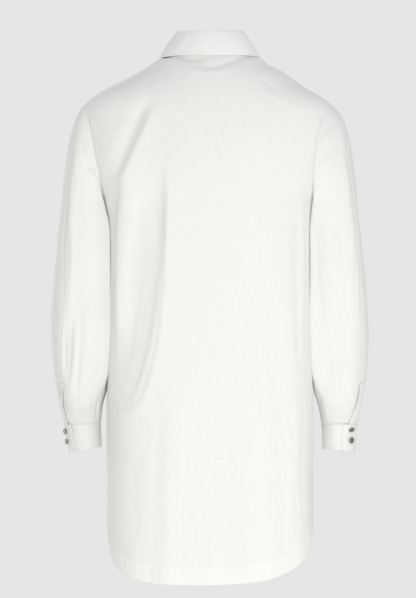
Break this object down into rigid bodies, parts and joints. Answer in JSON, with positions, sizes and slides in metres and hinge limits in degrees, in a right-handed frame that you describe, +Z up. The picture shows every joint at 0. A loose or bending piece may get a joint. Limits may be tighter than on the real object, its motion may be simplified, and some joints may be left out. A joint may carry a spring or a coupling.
{
  "type": "long blouse",
  "caption": "Long-sleeved white cotton blouse in its worn shape, with a turned-down collar, buttoned front band, buttoned cuffs and a curved shirt-tail hem.",
  "frame": {"origin": "middle of the neck's base, at the height where the turned-down collar meets the shoulders", "axes": "+Z up, -Y towards the front band, +X towards the wearer's left sleeve"},
  "size_m": [0.539, 0.2679, 0.9393],
  "materials": {
    "poplin": "matt white cotton poplin",
    "interlined_poplin": "matt white cotton poplin, doubled and interlined",
    "button_metal": "dark polished metal"
  },
  "bodies": {
    "root": {"back": "poplin", "front_left": "poplin", "front_right": "poplin", "sleeve_left_back": "poplin", "sleeve_left_front": "poplin", "sleeve_right_back": "poplin", "sleeve_right_front": "poplin", "front_placket": "interlined_poplin", "collar_stand": "interlined_poplin", "collar_fall": "interlined_poplin", "sleeve_placket_left": "interlined_poplin", "sleeve_placket_right": "interlined_poplin", "cuff_left": "interlined_poplin", "cuff_right": "interlined_poplin", "button_cuff_left_1": "button_metal", "button_cuff_left_2": "button_metal", "button_cuff_right_1": "button_metal", "button_cuff_right_2": "button_metal", "button_collar": "button_metal", "button_front_1": "button_metal", "button_front_2": "button_metal", "button_front_3": "button_metal", "button_front_4": "button_metal", "button_front_5": "button_metal", "button_front_6": "button_metal", "button_front_7": "button_metal", "button_front_8": "button_metal"}
  },
  "joints": []
}
